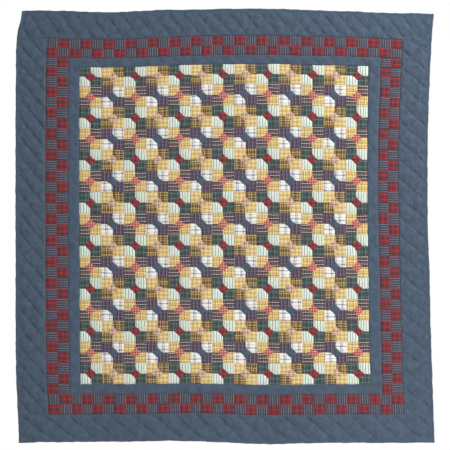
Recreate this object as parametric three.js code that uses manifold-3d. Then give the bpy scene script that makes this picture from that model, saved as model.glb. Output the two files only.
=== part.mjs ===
// A pieced bow-tie quilt hung by its top edge: a wooden rail, three steel cradle
// brackets, a wooden rod, and the quilt with a sleeve sewn to its back.
//
// Millimetres, +X right, +Z up, -Y towards the viewer. The origin is the centre of the
// rail's rear face, which lies against a wall.

import * as THREE from 'three';
import { mergeVertices } from 'three/addons/utils/BufferGeometryUtils.js';
import Module from 'manifold-3d';

const wasm = await Module();
wasm.setup();

// ---------------------------------------------------------------- driving dimensions

// Patchwork: squares, two to a block each way
const squareWidth = 63.2;
const squareHeight = 59.5;
const squaresPerBlock = 2;
const blocksAcross = 13;
const blocksDown = 15;

// Three borders around the patchwork, at the sides and at the two ends
const innerBorderSide = 66;
const innerBorderEnd = 57;
const checkerBorderSide = 116;
const checkerBorderEnd = 112;
const outerBorderSide = 165;
const outerBorderEnd = 157.5;

// Layers of the quilt
const topThickness = 1.0;
const battingThickness = 6.0;
const backingThickness = 1.0;
const bindingThickness = 1.0;
const bindingWidth = 12;
const layerGap = 0.3;
const seamGap = 0.3;

// Hanging sleeve
const sleeveThickness = 1.5;
const sleeveClearance = 0.4;
const sleeveTopSeam = 6;
const sleeveDepth = 92;
const sleeveBracketGap = 10;
const edgeAboveSleeve = 22;

// Rod and its end caps
const rodRadius = 16;
const rodInset = 68;
const capWall = 2.4;
const capDepth = 22;
const capEnd = 4;
const capEdge = 1.5;

// Rail on the wall
const railHeight = 90;
const railThickness = 20;
const railInset = 50;
const railChamfer = 3;

// Cradle brackets
const bracketWidth = 30;
const bracketSteel = 2.5;
const bracketInset = 50;
const plateMargin = 6;
const wallToRod = 52;
const railTopBelowRod = 5;
const cradleLip = 6;
const swingClearance = 0.7;

// Bracket screws
const screwRadius = 2;
const screwHeadRadius = 4.2;
const screwHeadHeight = 2.6;
const screwHeadEdge = 0.8;
const screwGrip = 14;
const screwSpacing = 34;
const screwBelowCradle = 8.7;

// Clearance where one rigid piece touches another
const fit = 0.3;
const roundSides = 32;

// ---------------------------------------------------------------- sizes that follow

const fieldWidth = squareWidth * squaresPerBlock * blocksAcross;
const fieldHeight = squareHeight * squaresPerBlock * blocksDown;
const innerHalfWidth = fieldWidth / 2 + innerBorderSide;
const innerHalfHeight = fieldHeight / 2 + innerBorderEnd;
const checkerHalfWidth = innerHalfWidth + checkerBorderSide;
const checkerHalfHeight = innerHalfHeight + checkerBorderEnd;
const quiltHalfWidth = checkerHalfWidth + outerBorderSide;
const quiltHalfHeight = checkerHalfHeight + outerBorderEnd;

const bindingInset = bindingThickness + layerGap;
const clothHalfWidth = quiltHalfWidth - bindingInset;
const clothHalfHeight = quiltHalfHeight - bindingInset;

const sleeveInner = rodRadius + sleeveClearance;
const sleeveOuter = sleeveInner + sleeveThickness;
const cradleInner = rodRadius + fit;
const cradleOuter = cradleInner + bracketSteel;

// Depths in front of the rod's axis, front of the cradle first
const lipCorner = Math.hypot(cradleOuter, cradleLip);
const backingRear = -(Math.max(lipCorner, sleeveOuter) + swingClearance + bindingInset);
const battingRear = backingRear - backingThickness - layerGap;
const topRear = battingRear - battingThickness - layerGap;
const topFront = topRear - topThickness;

// Heights above the rod's axis
const sleeveTop = sleeveOuter + sleeveTopSeam;
const quiltTop = sleeveTop + edgeAboveSleeve;
const quiltMiddle = quiltTop - quiltHalfHeight;

const rodHalfLength = quiltHalfWidth - rodInset;
const railHalfLength = rodHalfLength - railInset;
const bracketOffset = railHalfLength - bracketInset;
const rodHeight = railHeight / 2 + railTopBelowRod;

// ---------------------------------------------------------------- helpers

const fabricFinish = { roughness: 0.9, metalness: 0 };
const woodFinish = { roughness: 0.6, metalness: 0 };
const steelFinish = { roughness: 0.45, metalness: 0.8 };

const colours = {
  slate: 0x4b6278,
  patchwork: 0x9c9272,
  checker: 0x5c3a4c,
  batting: 0xeae6da,
  backing: 0x55687c,
  sleeve: 0x5b6d80,
  pine: 0xc9a878,
  steel: 0x3a3a3c,
  zinc: 0xa7a9ac,
};

function mesh(name, geometry, colour, finish) {
  const made = new THREE.Mesh(geometry, new THREE.MeshStandardMaterial({ color: colour, ...finish }));
  made.name = name;
  return made;
}

function toSolid(geometry) {
  const bare = geometry.clone();
  bare.deleteAttribute('normal');
  bare.deleteAttribute('uv');
  const merged = mergeVertices(bare);
  return new wasm.Manifold(new wasm.Mesh({
    numProp: 3,
    vertProperties: new Float32Array(merged.attributes.position.array),
    triVerts: new Uint32Array(merged.index.array),
  }));
}

function toGeometry(solid) {
  const result = solid.getMesh();
  const geometry = new THREE.BufferGeometry();
  geometry.setAttribute('position', new THREE.BufferAttribute(result.vertProperties, 3));
  geometry.setIndex(new THREE.BufferAttribute(result.triVerts, 1));
  geometry.computeVertexNormals();
  return geometry;
}

// A profile drawn in Y (across) and Z (up), extruded along X and centred on it
function alongX(shape, length) {
  const geometry = new THREE.ExtrudeGeometry(shape, {
    depth: length,
    bevelEnabled: false,
    curveSegments: roundSides,
  });
  geometry.translate(0, 0, -length / 2);
  const turn = new THREE.Matrix4().makeBasis(
    new THREE.Vector3(0, 1, 0),
    new THREE.Vector3(0, 0, 1),
    new THREE.Vector3(1, 0, 0),
  );
  return geometry.applyMatrix4(turn);
}

function roundAlongY(radius, y0, y1) {
  const geometry = new THREE.CylinderGeometry(radius, radius, y1 - y0, roundSides);
  return geometry.translate(0, (y0 + y1) / 2, 0);
}

// A flat layer from its edges and its rear face, short by half a seam gap on each edge
function layer(name, [left, right], [low, high], rear, thickness, colour) {
  const geometry = new THREE.BoxGeometry(right - left - seamGap, thickness, high - low - seamGap);
  const made = mesh(name, geometry, colour, fabricFinish);
  made.position.set((left + right) / 2, rear - thickness / 2, (low + high) / 2);
  return made;
}

// ---------------------------------------------------------------- rack

// A bracket's plate on the rail, and the heights of its two screws, counted from the
// floor of the cradle, where the plate ends
const plateRear = -railThickness - fit;
const plateFront = plateRear - bracketSteel;
const plateTop = rodHeight - cradleInner;
const plateBottom = plateMargin - railHeight / 2;
const screwHeights = [plateTop - screwBelowCradle, plateTop - screwBelowCradle - screwSpacing];

function rail() {
  const top = railHeight / 2;
  const front = -railThickness;
  const shape = new THREE.Shape([
    new THREE.Vector2(0, -top),
    new THREE.Vector2(0, top),
    new THREE.Vector2(front + railChamfer, top),
    new THREE.Vector2(front, top - railChamfer),
    new THREE.Vector2(front, -top + railChamfer),
    new THREE.Vector2(front + railChamfer, -top),
  ]);
  let solid = toSolid(alongX(shape, 2 * railHalfLength));
  for (const x of [-bracketOffset, 0, bracketOffset]) {
    for (const z of screwHeights) {
      const depth = front + screwGrip + fit;
      const pilot = roundAlongY(screwRadius + fit, front - 1, depth).translate(x, 0, z);
      solid = solid.subtract(toSolid(pilot));
    }
  }
  return mesh('back_rail', toGeometry(solid), colours.pine, woodFinish);
}

// A bent steel strip: a plate on the rail, an arm, and an open cradle under the rod
function bracketGeometry() {
  const plate = new THREE.BoxGeometry(bracketWidth, bracketSteel, plateTop - plateBottom);
  plate.translate(0, (plateRear + plateFront) / 2, (plateTop + plateBottom) / 2);

  const arm = new THREE.BoxGeometry(bracketWidth, wallToRod + plateRear, bracketSteel);
  arm.translate(0, (plateRear - wallToRod) / 2, plateTop - bracketSteel / 2);

  const cradle = new THREE.Shape();
  cradle.moveTo(-cradleOuter, cradleLip);
  cradle.lineTo(-cradleOuter, 0);
  cradle.absarc(0, 0, cradleOuter, Math.PI, 2 * Math.PI, false);
  cradle.lineTo(cradleOuter, cradleLip);
  cradle.lineTo(cradleInner, cradleLip);
  cradle.lineTo(cradleInner, 0);
  cradle.absarc(0, 0, cradleInner, 2 * Math.PI, Math.PI, true);
  cradle.lineTo(-cradleInner, cradleLip);
  cradle.closePath();
  const cup = alongX(cradle, bracketWidth).translate(0, -wallToRod, rodHeight);

  const rodSpace = new THREE.CylinderGeometry(cradleInner, cradleInner, 2 * bracketWidth, 2 * roundSides);
  rodSpace.rotateZ(Math.PI / 2).translate(0, -wallToRod, rodHeight);

  let solid = toSolid(plate).add(toSolid(arm)).subtract(toSolid(rodSpace)).add(toSolid(cup));
  for (const z of screwHeights) {
    const hole = roundAlongY(screwRadius + fit, plateFront - 1, plateRear + 1).translate(0, 0, z);
    solid = solid.subtract(toSolid(hole));
  }
  return toGeometry(solid);
}

// A pan-head screw along Y, its shank towards the wall and its head in front of the plate
function screwGeometry() {
  const headRear = plateFront - fit;
  const headFront = headRear - screwHeadHeight;
  const tip = -railThickness + screwGrip;
  return new THREE.LatheGeometry([
    new THREE.Vector2(0, headFront),
    new THREE.Vector2(screwHeadRadius - screwHeadEdge, headFront),
    new THREE.Vector2(screwHeadRadius, headFront + screwHeadEdge),
    new THREE.Vector2(screwHeadRadius, headRear),
    new THREE.Vector2(screwRadius, headRear),
    new THREE.Vector2(screwRadius, tip - screwRadius),
    new THREE.Vector2(0, tip),
  ], roundSides / 2);
}

function rack() {
  const group = new THREE.Group();
  group.add(rail());
  const places = { left: -bracketOffset, centre: 0, right: bracketOffset };
  let screwNumber = 0;
  for (const [side, x] of Object.entries(places)) {
    const bracket = mesh(`bracket_${side}`, bracketGeometry(), colours.steel, steelFinish);
    bracket.position.x = x;
    group.add(bracket);
    for (const z of screwHeights) {
      screwNumber += 1;
      const screw = mesh(`bracket_screw_${screwNumber}`, screwGeometry(), colours.zinc, steelFinish);
      screw.position.set(x, 0, z);
      group.add(screw);
    }
  }
  return group;
}

// ---------------------------------------------------------------- rod

// A cup over the rod's end, drawn for the right-hand end with its mouth towards -X
function capGeometry() {
  const inner = rodRadius + fit;
  const outer = inner + capWall;
  const cap = new THREE.LatheGeometry([
    new THREE.Vector2(0, fit),
    new THREE.Vector2(inner, fit),
    new THREE.Vector2(inner, -capDepth),
    new THREE.Vector2(outer, -capDepth),
    new THREE.Vector2(outer, fit + capEnd - capEdge),
    new THREE.Vector2(outer - capEdge, fit + capEnd),
    new THREE.Vector2(0, fit + capEnd),
  ], roundSides);
  return cap.rotateZ(-Math.PI / 2).translate(rodHalfLength, 0, 0);
}

function rod() {
  const group = new THREE.Group();
  const bar = new THREE.CylinderGeometry(rodRadius, rodRadius, 2 * rodHalfLength, roundSides);
  group.add(mesh('hanging_rod', bar.rotateZ(Math.PI / 2), colours.pine, woodFinish));
  group.add(mesh('rod_cap_right', capGeometry(), colours.pine, woodFinish));
  group.add(mesh('rod_cap_left', capGeometry().rotateZ(Math.PI), colours.pine, woodFinish));
  return group;
}

// ---------------------------------------------------------------- quilt

// Where a straight line from a point touches a circle about the origin, on its rear side
function tangentAngle(y, z, radius) {
  const turn = Math.acos(radius / Math.hypot(y, z));
  return Math.atan2(z, y) - Math.sign(z) * turn;
}

// A loop of cloth round the rod: flat at the front, round behind, and narrowing to its
// upper and lower seams. The offset makes it smaller all round, for the inside.
function sleeveOutline(offset, PathClass) {
  const front = backingRear + layerGap + offset;
  const radius = sleeveOuter - offset;
  const top = sleeveTop - 3 * offset;
  const bottom = sleeveTop - sleeveDepth + 3 * offset;
  const path = new PathClass();
  path.moveTo(front, top);
  path.lineTo(front, bottom);
  path.absarc(0, 0, radius, tangentAngle(front, bottom, radius), tangentAngle(front, top, radius), false);
  path.closePath();
  return path;
}

function sleeve(side, sign) {
  const start = bracketWidth / 2 + sleeveBracketGap;
  const end = bracketOffset - start;
  const shape = sleeveOutline(0, THREE.Shape);
  shape.holes.push(sleeveOutline(sleeveThickness, THREE.Path));
  const made = mesh(`sleeve_${side}`, alongX(shape, end - start), colours.sleeve, fabricFinish);
  made.position.x = sign * (start + end) / 2;
  return made;
}

// Four strips around an opening: the side strips first, then the ends across all of them
function border(name, halfWidth, halfHeight, sideBand, endBand, colour) {
  const innerWide = halfWidth - sideBand;
  const innerHigh = halfHeight - endBand;
  const strips = [
    ['top', [-halfWidth, halfWidth], [innerHigh, halfHeight]],
    ['bottom', [-halfWidth, halfWidth], [-halfHeight, -innerHigh]],
    ['left', [-halfWidth, -innerWide], [-innerHigh, innerHigh]],
    ['right', [innerWide, halfWidth], [-innerHigh, innerHigh]],
  ];
  return strips.map(([side, across, up]) => (
    layer(`${name}_${side}`, across, up, topRear, topThickness, colour)));
}

function blockRows() {
  const rowHeight = squareHeight * squaresPerBlock;
  return Array.from({ length: blocksDown }, (_, index) => {
    const high = fieldHeight / 2 - index * rowHeight;
    const name = `block_row_${String(index + 1).padStart(2, '0')}`;
    const across = [-fieldWidth / 2, fieldWidth / 2];
    return layer(name, across, [high - rowHeight, high], topRear, topThickness, colours.patchwork);
  });
}

// A folded strip around one edge, with mitred ends, drawn for the top edge of length 2 * half
function bindingGeometry(half) {
  const rear = backingRear + layerGap + bindingThickness;
  const front = topFront - layerGap - bindingThickness;
  const shape = new THREE.Shape([
    new THREE.Vector2(rear, 0),
    new THREE.Vector2(front, 0),
    new THREE.Vector2(front, -bindingWidth),
    new THREE.Vector2(front + bindingThickness, -bindingWidth),
    new THREE.Vector2(front + bindingThickness, -bindingThickness),
    new THREE.Vector2(rear - bindingThickness, -bindingThickness),
    new THREE.Vector2(rear - bindingThickness, -bindingWidth),
    new THREE.Vector2(rear, -bindingWidth),
  ]);
  const geometry = alongX(shape, 2 * half);
  const position = geometry.attributes.position;
  for (let index = 0; index < position.count; index += 1) {
    const x = position.getX(index);
    const mitre = seamGap - position.getZ(index);
    position.setX(index, x - Math.sign(x) * mitre);
  }
  return geometry;
}

function bindings() {
  const edges = [
    ['top', 0, quiltHalfWidth, [0, quiltHalfHeight]],
    ['right', Math.PI / 2, quiltHalfHeight, [quiltHalfWidth, 0]],
    ['bottom', Math.PI, quiltHalfWidth, [0, -quiltHalfHeight]],
    ['left', -Math.PI / 2, quiltHalfHeight, [-quiltHalfWidth, 0]],
  ];
  return edges.map(([side, turn, half, [x, z]]) => {
    const made = mesh(`binding_${side}`, bindingGeometry(half), colours.slate, fabricFinish);
    made.rotation.y = turn;
    made.position.set(x, 0, z);
    return made;
  });
}

function quilt() {
  const group = new THREE.Group();
  const face = new THREE.Group();
  face.position.z = quiltMiddle;
  const clothX = [-clothHalfWidth, clothHalfWidth];
  const clothZ = [-clothHalfHeight, clothHalfHeight];
  const outerSide = outerBorderSide - bindingInset;
  const outerEnd = outerBorderEnd - bindingInset;
  face.add(
    ...blockRows(),
    ...border('inner_border', innerHalfWidth, innerHalfHeight,
      innerBorderSide, innerBorderEnd, colours.slate),
    ...border('checker_border', checkerHalfWidth, checkerHalfHeight,
      checkerBorderSide, checkerBorderEnd, colours.checker),
    ...border('outer_border', clothHalfWidth, clothHalfHeight, outerSide, outerEnd, colours.slate),
    layer('batting', clothX, clothZ, battingRear, battingThickness, colours.batting),
    layer('backing_left', [-clothHalfWidth, 0], clothZ, backingRear, backingThickness, colours.backing),
    layer('backing_right', [0, clothHalfWidth], clothZ, backingRear, backingThickness, colours.backing),
    ...bindings(),
  );
  group.add(face, sleeve('left', -1), sleeve('right', 1));
  return group;
}

// ---------------------------------------------------------------- the whole object

const rodAndQuilt = new THREE.Group();
rodAndQuilt.position.set(0, -wallToRod, rodHeight);
rodAndQuilt.add(rod(), quilt());

const hungQuilt = new THREE.Group();
hungQuilt.add(rack(), rodAndQuilt);

export default hungQuilt;
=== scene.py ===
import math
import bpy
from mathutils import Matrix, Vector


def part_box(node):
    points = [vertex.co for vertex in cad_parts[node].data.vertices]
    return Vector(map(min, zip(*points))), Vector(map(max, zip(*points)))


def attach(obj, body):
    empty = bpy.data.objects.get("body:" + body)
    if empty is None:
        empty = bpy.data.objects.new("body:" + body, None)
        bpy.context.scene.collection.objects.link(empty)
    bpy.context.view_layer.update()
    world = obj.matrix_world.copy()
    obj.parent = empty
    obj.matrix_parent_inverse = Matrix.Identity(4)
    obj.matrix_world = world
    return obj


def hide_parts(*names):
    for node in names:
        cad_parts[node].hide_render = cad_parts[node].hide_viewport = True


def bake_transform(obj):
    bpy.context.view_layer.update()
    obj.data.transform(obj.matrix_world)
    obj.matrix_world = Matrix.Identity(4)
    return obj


bl_info = {
    "name": "Hung bow-tie quilt",
    "version": (1, 0, 0),
    "blender": (4, 5, 0),
    "location": "View3D > Sidebar > Quilt",
    "description": "Pieces a quilted bow-tie patchwork around its hanging frame",
    "category": "Object",
}

import bmesh
import bpy
import numpy as np
from mathutils import Matrix, Vector

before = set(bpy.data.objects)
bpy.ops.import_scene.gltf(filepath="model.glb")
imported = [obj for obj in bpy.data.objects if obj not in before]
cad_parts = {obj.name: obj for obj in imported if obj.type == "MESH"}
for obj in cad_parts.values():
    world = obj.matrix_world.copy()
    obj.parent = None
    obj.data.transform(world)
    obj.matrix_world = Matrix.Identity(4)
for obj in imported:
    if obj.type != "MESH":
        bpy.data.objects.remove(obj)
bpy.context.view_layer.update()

MM = 0.001
SIDES = ("top", "right", "bottom", "left")


# ---------------------------------------------------------------- places from the frame

def rectangle(*nodes):
    """Left, right, bottom and top of the box round some nodes, seen from the front."""
    corners = [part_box(node) for node in nodes]
    return (
        min(low.x for low, high in corners),
        max(high.x for low, high in corners),
        min(low.z for low, high in corners),
        max(high.z for low, high in corners),
    )


def grown(box, amount):
    """A rectangle with each of its sides moved outwards."""
    left, right, bottom, top = box
    return left - amount, right + amount, bottom - amount, top + amount


def border_box(name):
    """The box round the four strips of a border."""
    return rectangle(*(f"{name}_{side}" for side in SIDES))


ROWS = sorted(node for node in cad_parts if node.startswith("block_row"))
SEAM = 0.15 * MM
FIELD = grown(rectangle(*ROWS), SEAM)
INNER = grown(border_box("inner_border"), SEAM)
CHECKER = grown(border_box("checker_border"), SEAM)
EDGE = border_box("binding")

COLUMNS = 26
ROWS_OF_SQUARES = 2 * len(ROWS)
SQUARE_WIDE = (FIELD[1] - FIELD[0]) / COLUMNS
SQUARE_HIGH = (FIELD[3] - FIELD[2]) / ROWS_OF_SQUARES
SQUARE = (SQUARE_WIDE + SQUARE_HIGH) / 2
CHECKER_ACROSS = 32
CHECKER_DOWN = 32

MIDDLE_X = (EDGE[0] + EDGE[1]) / 2
MIDDLE_Z = (EDGE[2] + EDGE[3]) / 2
HALF_WIDE = (EDGE[1] - EDGE[0]) / 2
HALF_HIGH = (EDGE[3] - EDGE[2]) / 2

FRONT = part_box("block_row_01")[0].y
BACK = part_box("backing_left")[1].y

ROD_LOW, ROD_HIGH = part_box("hanging_rod")
ROD_AXIS = (ROD_LOW + ROD_HIGH) / 2
ROD_RADIUS = (ROD_HIGH.z - ROD_LOW.z) / 2

# Height below which a whole piece rides the quilt's body when it swings
BEND_END = (0, BACK, ROD_AXIS.z - 0.62)

KNOT = 0.5  # how far a knot reaches from its middle, in squares
STEEP = 1.2  # slope of the quilting lines at the left and the top
GENTLE = 0.86  # and at the right and the bottom
BOUND_WIDTH = 12 * MM
CROSS_FADE = (0.78 * HALF_WIDE, 0.9 * HALF_WIDE)  # where the crossing lines fade in
CROSS_SEWN = 0.86 * HALF_WIDE  # and where their stitches start
SLEEVE_FLAT = 0.22  # width of the sleeve before it is sewn into a loop
YARN = 0.55 * MM  # width of one yarn


# ---------------------------------------------------------------- settings

def length(name, description, default):
    """A length in metres that the panel shows."""
    return bpy.props.FloatProperty(name=name, description=description, default=default,
                                   unit="LENGTH", precision=4)


def colour(name, description, default):
    """A colour that the panel shows, given as it looks on a screen."""
    return bpy.props.FloatVectorProperty(name=name, description=description, size=3,
                                         default=[part / 255 for part in default],
                                         subtype="COLOR_GAMMA", min=0, max=1)


class QuiltOutline(bpy.types.PropertyGroup):
    """How the hung quilt's outline differs from a true rectangle."""
    corner_pull: length("Corner pull", "Top left corner pulled in towards the middle", 0.032)
    left_bow: length("Left bow", "Left edge standing out at mid height", 0.012)
    foot_shift: length("Foot shift", "Lower left corner drawn to the right", 0.014)
    right_flare: length("Right flare", "Right edge standing out at its two corners", 0.022)
    right_waist: length("Right waist", "Right edge drawn in above mid height", 0.034)
    arch: length("Arch", "Top edge standing up near the middle", 0.021)
    dip: length("Dip", "Top edge sagging left of the middle", 0.011)
    droop: length("Droop", "Top right corner hanging lower", 0.018)
    hem_lift: length("Hem lift", "Lower edge lifted left of the middle", 0.009)
    drawn_up: length("Drawn up", "Patchwork drawn up below the top borders", 0.021)
    drawn_in: length("Drawn in", "Left of the patchwork drawn towards the middle", 0.012)
    top_trim: length("Top trim", "Top border narrower from the middle to the right", 0.010)
    left_trim: length("Left trim", "Left border narrower at mid height", 0.008)
    hem_let_down: length("Hem let down", "Lower border wider from the middle to the right", 0.005)
    left_band: length("Left band", "Checker border at the left drawn to the right", 0.0095)
    right_band: length("Right band", "Checker border at the right drawn in", 0.008)
    right_foot: length("Right foot", "Right border wider in its lower half", 0.0055)
    wander: length("Wander", "How far seams wander from a straight line", 0.0018)


class QuiltDrape(bpy.types.PropertyGroup):
    """How the quilt hangs forwards and back."""
    fold: length("Fold", "Depth of the slack upright waves at the hem", 0.007)
    lean: length("Lean", "How far the hem hangs back towards the wall", 0.008)
    held: length("Held", "Height below the top edge that stays flat on the rod", 0.14)


class QuiltRelief(bpy.types.PropertyGroup):
    """Depth of the seams and quilting, and how the batting puffs between them."""
    ditch: length("Ditch", "Depth of the quilting round each octagon", 0.0022)
    seam: length("Seam", "Depth of the seams inside an octagon", 0.0011)
    rounding: length("Rounding", "How far the knots' sides are hollowed", 0.0012)
    uneven: length("Uneven", "How far a knot's side may be off, either way", 0.0036)
    puff: length("Puff", "Height of a patch between its seams", 0.0016)
    band_ditch: length("Band ditch", "Depth of the seams between the borders", 0.0028)
    line: length("Quilting line", "Depth of the slanting lines in the outer border", 0.0046)
    cross: length("Cross line", "Depth of the lines that cross them at the right", 0.0028)
    swell: length("Swell", "Height of the border between its quilting lines", 0.003)
    pucker: length("Pucker", "Height of the gathers along a quilting line", 0.0017)
    crinkle: length("Crinkle", "Height of the border's uneven hills", 0.0019)
    spacing: length("Spacing", "Distance between quilting lines, up and down", 0.106)
    cloth: length("Cloth", "Thickness of the cotton", 0.0006)


class QuiltColours(bpy.types.PropertyGroup):
    """Plain colours of the cloth, thread, wood and metal."""
    slate: colour("Slate", "Borders, binding and one set of knots", (82, 99, 118))
    backing: colour("Backing", "Cloth on the back", (98, 116, 134))
    thread: colour("Thread", "Quilting thread", (52, 64, 80))
    batting: colour("Batting", "Filling between the layers", (235, 230, 218))
    pine: colour("Pine", "Rail, rod and caps", (203, 170, 122))
    steel: colour("Steel", "Brackets", (44, 44, 46))
    zinc: colour("Zinc", "Screws", (168, 170, 172))


GROUPS = {
    "quilt_outline": QuiltOutline,
    "quilt_drape": QuiltDrape,
    "quilt_relief": QuiltRelief,
    "quilt_colours": QuiltColours,
}


# ---------------------------------------------------------------- the hung surface
# Cloth is laid out flat first: u runs to the right and v upwards, both in the frame's
# own metres. These functions then hang it.

def smooth(value, start, end):
    """0 before start, 1 after end and smooth between."""
    share = np.clip((value - start) / (end - start), 0, 1)
    return share * share * (3 - 2 * share)


def near(distance, width):
    """1 at no distance, falling away to nothing over about twice the width."""
    return np.exp(-((distance / width) ** 2))


def roll(u, v, size, seed):
    """Gentle uneven hills about one unit high and one size across."""
    a, b = u / size, v / size
    return 0.5 * (
        np.sin(2.1 * a + 1.3 * b + seed) * np.cos(1.7 * b - 0.9 * a + 2.0 * seed)
        + 0.6 * np.sin(3.7 * b + 0.8 * a + 3.1 * seed) * np.cos(4.3 * a - 1.1 * b + seed)
        + 0.4 * np.sin(7.9 * a + 5.3 * b + 1.7 * seed)
    )


def outline(u, v):
    """Where a flat point lies, seen from the front, once the quilt hangs."""
    shape = bpy.context.scene.quilt_outline
    across = (u - MIDDLE_X) / HALF_WIDE
    down = np.clip((MIDDLE_Z + HALF_HIGH - v) / (2 * HALF_HIGH), 0, 1)
    left = (
        shape.corner_pull * near(down, 0.045)
        - shape.left_bow * np.sin(math.pi * down)
        + shape.foot_shift * smooth(down, 0.8, 1)
    )
    right = shape.right_flare - shape.right_waist * np.sin(math.pi * down ** 0.8)
    top = (
        shape.arch * near(across - 0.12, 0.42)
        - shape.dip * near(across + 0.55, 0.2)
        - shape.droop * smooth(across, 0.6, 1)
    ) * np.clip(1 - down / 0.55, 0, 1) ** 2
    hem = (
        shape.hem_lift * near(across + 0.2, 0.22) - shape.hem_lift * near(across - 0.2, 0.14)
    ) * np.clip((down - 0.6) / 0.4, 0, 1) ** 2
    x = u + left * np.clip(-across, 0, 1) ** 2 + right * np.clip(across, 0, 1) ** 2
    x = x + shape.drawn_in * np.sin(math.pi * np.abs(across)) * np.where(
        across < 0, 1, 0.6 * smooth(down, 0.35, 1))
    drawn = shape.drawn_up * smooth(down, 0.06, 0.2) * (1 - smooth(down, 0.27, 0.84))
    z = v + top + hem + drawn * (0.86 + 0.2 * near(across - 0.2, 0.5))
    z = z - shape.top_trim * smooth(across, -0.35, -0.1) * (1 - smooth(across, 0.72, 0.92)) * (
        1 - smooth(down, 0, 0.06))
    z = z - shape.hem_let_down * (
        smooth(across, -0.35, -0.15) + near(across + 1, 0.08)) * smooth(down, 0.94, 1)
    x = x + shape.left_trim * np.sin(math.pi * down) * (1 - smooth(across, -1, -0.87))
    x = x + shape.left_band * near(across + 0.77, 0.1) * (0.5 + 0.9 * down)
    x = x - shape.right_band * near(across - 0.84, 0.12) * near(down - 0.36, 0.15)
    x = x + shape.right_foot * smooth(across, 0.88, 1) * smooth(down, 0.5, 0.62)
    x = x + shape.wander * (roll(u, v, 0.085, 1.0) + 0.8 * roll(u, v, 0.034, 5.0))
    z = z + shape.wander * (roll(u, v, 0.085, 4.0) + 0.8 * roll(u, v, 0.034, 8.0))
    return x, z


def sway(u, v):
    """How far the whole thickness stands back at a point, from its waves and lean."""
    drape = bpy.context.scene.quilt_drape
    below = np.clip(MIDDLE_Z + HALF_HIGH - drape.held - v, 0, None) / (2 * HALF_HIGH)
    waves = (
        0.55 * np.sin(u * 7.3 + 0.6) + 0.3 * np.sin(u * 12.9 + 2.1 + 1.4 * v)
        + 0.25 * np.sin(u * 3.1 - 0.8 - 0.9 * v)
    )
    return drape.fold * waves * smooth(below, 0, 0.8) + drape.lean * below


def outside(u, v, box):
    """Distance outside a rectangle, and below zero inside it."""
    left, right, bottom, top = box
    return np.maximum(
        np.maximum(left - u, u - right),
        np.maximum(bottom - v, v - top),
    )


def off_binding(u, v):
    """0 under the binding, and 1 from three times its width inwards."""
    return smooth(-outside(u, v, EDGE), BOUND_WIDTH, 3 * BOUND_WIDTH)


def off_line(value):
    """Distance from the nearest whole number."""
    return np.abs(value - np.round(value))


def in_squares(u, v):
    """How many squares a place lies from the patchwork's left and top."""
    return (u - FIELD[0]) / SQUARE_WIDE, (FIELD[3] - v) / SQUARE_HIGH


def beyond_knot(a, b):
    """Distance outside a knot's slanting side, from squares off its middle each way."""
    return (np.abs(a) + np.abs(b) - KNOT) * SQUARE / math.sqrt(2)


def octagon_lines(u, v):
    """Distances from the outline of the nearest octagon and from the seams inside it."""
    a, b = in_squares(u, v)
    to_knot_a = np.abs(a % 2 - 1)
    to_knot_b = np.abs(b % 2 - 1)
    from_knot = beyond_knot(to_knot_a, to_knot_b)
    outline_line = np.minimum(to_knot_a * SQUARE_WIDE, to_knot_b * SQUARE_HIGH)
    seam_line = np.minimum((1 - to_knot_a) * SQUARE_WIDE, (1 - to_knot_b) * SQUARE_HIGH)
    outer = np.where(from_knot < 0, -from_knot, np.minimum(from_knot, outline_line))
    return outer, np.where(from_knot < 0, 1.0, seam_line)


def patchwork_relief(u, v):
    """Octagons stand out, quilted round their edges, with flatter seams inside them."""
    relief = bpy.context.scene.quilt_relief
    outer, seams = octagon_lines(u, v)
    return (
        relief.puff * (1 - near(outer, 13 * MM))
        - relief.ditch * near(outer, 5 * MM)
        - relief.seam * near(seams, 4 * MM)
    )


def checker_relief(u, v):
    """Small square patches with a seam round each."""
    relief = bpy.context.scene.quilt_relief
    ends = (v > INNER[3]) | (v < INNER[2])
    along_end = (u - CHECKER[0]) / (CHECKER[1] - CHECKER[0]) * CHECKER_ACROSS
    along_side = (INNER[3] - v) / (INNER[3] - INNER[2]) * CHECKER_DOWN
    from_side = np.minimum(u - CHECKER[0], CHECKER[1] - u) / (INNER[0] - CHECKER[0]) * 2
    from_end = np.minimum(v - CHECKER[2], CHECKER[3] - v) / (CHECKER[3] - INNER[3]) * 2
    a = off_line(np.where(ends, along_end, from_side)) * SQUARE_WIDE
    b = off_line(np.where(ends, from_end, along_side)) * SQUARE_HIGH
    seams = np.minimum(a, b)
    return relief.puff * (1 - near(seams, 12 * MM)) - relief.ditch * near(seams, 5 * MM)


def slant_of_lines(u, v):
    """How steeply the quilting lines fall, which is less at the right and the bottom."""
    gentle = (v < CHECKER[2]) | ((u > CHECKER[1]) & (v < CHECKER[3]))
    return np.where(gentle, GENTLE, STEEP)


def line_bend(u, v):
    """How far a slanting line wanders up and down."""
    return 2.5 * MM * roll(u, v, 0.05, 6.0)


def quilting_lines(u, v):
    """Distances from the nearest slanting line and the nearest one that crosses it."""
    spacing = bpy.context.scene.quilt_relief.spacing
    slope = slant_of_lines(u, v)
    falling = off_line((slope * u + v + line_bend(u, v)) / spacing) * spacing / np.hypot(1, slope)
    rising = off_line((slope * u - v) / spacing) * spacing / np.hypot(1, slope)
    return falling, rising


def crossed(u):
    """1 in the right border, where a second set of lines crosses the first."""
    return smooth(u, *CROSS_FADE)


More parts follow.
